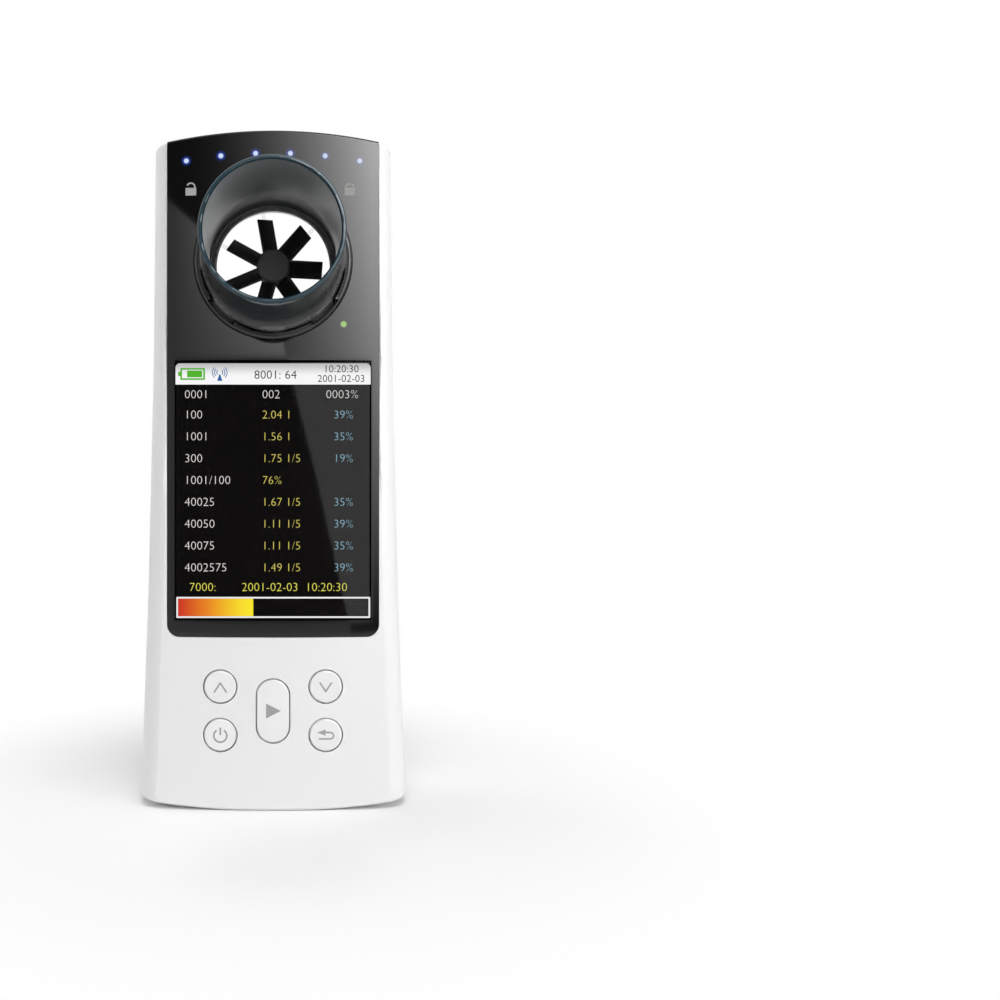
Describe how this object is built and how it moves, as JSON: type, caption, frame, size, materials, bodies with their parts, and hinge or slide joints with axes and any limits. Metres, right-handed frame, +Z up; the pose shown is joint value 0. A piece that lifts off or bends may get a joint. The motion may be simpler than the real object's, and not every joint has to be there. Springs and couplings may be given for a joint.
{
  "type": "handheld turbine spirometer",
  "caption": "Handheld lung-function tester: tapered white case with a black display front, a clear mouth tube on a twist-lock turbine cartridge, and soft keys below.",
  "frame": {"origin": "middle of the flat land on the base that the case stands on, at mid thickness", "axes": "+Z up the case, -Y out of the display side, +X to the right as the display is read"},
  "size_m": [0.0678, 0.056, 0.1705],
  "materials": {
    "white_shell": "satin",
    "black_panel": "polished",
    "screen_glass": "polished",
    "thin_metal": "satin",
    "light_guide": "matte",
    "amber_film": "satin",
    "circuit_board": "satin",
    "cell_foil": "satin",
    "shield_metal": "satin",
    "black_part": "matte",
    "white_part": "matte",
    "clear_part": "polished",
    "sensor_dark": "polished",
    "sensor_clear": "polished",
    "collar_grey": "satin",
    "socket_grey": "matte",
    "soft_seal": "matte",
    "tube_clear": "satin",
    "insert_grey": "satin",
    "rotor_dark": "satin",
    "hub_grey": "satin",
    "bush_metal": "satin",
    "steel": "satin",
    "key_white": "satin"
  },
  "bodies": {
    "housing": {"front_shell": "white_shell", "rear_shell": "white_shell", "front_panel": "black_panel", "main_board": "circuit_board", "display_glass": "screen_glass", "display_tray": "thin_metal", "backlight": "light_guide", "display_ribbon": "amber_film", "battery": "cell_foil", "radio_module": "shield_metal", "processor": "black_part", "battery_connector": "white_part", "buzzer": "black_part", "status_light_pipes": "clear_part", "status_lamp_chips": "white_part", "lamp_board": "circuit_board", "charge_light_pipe": "clear_part", "charge_lamp_chip": "white_part", "sensor_board": "circuit_board", "infrared_emitters": "sensor_clear", "infrared_receivers": "sensor_dark", "charging_port": "thin_metal", "key_switches": "black_part", "bayonet_collar": "collar_grey", "turbine_socket": "socket_grey", "outlet_seal": "soft_seal", "case_screws": "steel", "board_screws": "steel"},
    "cartridge": {"turbine_insert": "insert_grey", "rotor_carrier": "insert_grey", "axle_pin": "steel"},
    "tube": {"mouth_tube": "tube_clear"},
    "turbine": {"rotor": "rotor_dark", "rotor_bushes": "bush_metal", "hub_cap": "hub_grey"},
    "up_key_body": {"up_key": "key_white"},
    "down_key_body": {"down_key": "key_white"},
    "power_key_body": {"power_key": "key_white"},
    "return_key_body": {"return_key": "key_white"},
    "play_key_body": {"play_key": "key_white"}
  },
  "joints": [
    {"name": "cartridge_slide", "type": "slide", "parent": "housing", "child": "cartridge", "axis": [0, -1, 0], "range_m": [0, 0.022]},
    {"name": "tube_twist", "type": "hinge", "parent": "cartridge", "child": "tube", "pos_m": [0, 0, 0.1378], "axis": [0, 1, 0], "range_deg": [0, 45]},
    {"name": "rotor_spin", "type": "hinge", "parent": "cartridge", "child": "turbine", "pos_m": [0, 0, 0.1378], "axis": [0, 1, 0], "continuous": true},
    {"name": "up_key_press", "type": "slide", "parent": "housing", "child": "up_key_body", "axis": [0, 1, 0], "range_m": [0, 0.0008], "stiffness_N_per_m": 900, "springref_m": -0.0005},
    {"name": "down_key_press", "type": "slide", "parent": "housing", "child": "down_key_body", "axis": [0, 1, 0], "range_m": [0, 0.0008], "stiffness_N_per_m": 900, "springref_m": -0.0005},
    {"name": "power_key_press", "type": "slide", "parent": "housing", "child": "power_key_body", "axis": [0, 1, 0], "range_m": [0, 0.0008], "stiffness_N_per_m": 900, "springref_m": -0.0005},
    {"name": "return_key_press", "type": "slide", "parent": "housing", "child": "return_key_body", "axis": [0, 1, 0], "range_m": [0, 0.0008], "stiffness_N_per_m": 900, "springref_m": -0.0005},
    {"name": "play_key_press", "type": "slide", "parent": "housing", "child": "play_key_body", "axis": [0, 1, 0], "range_m": [0, 0.0008], "stiffness_N_per_m": 900, "springref_m": -0.0005}
  ]
}
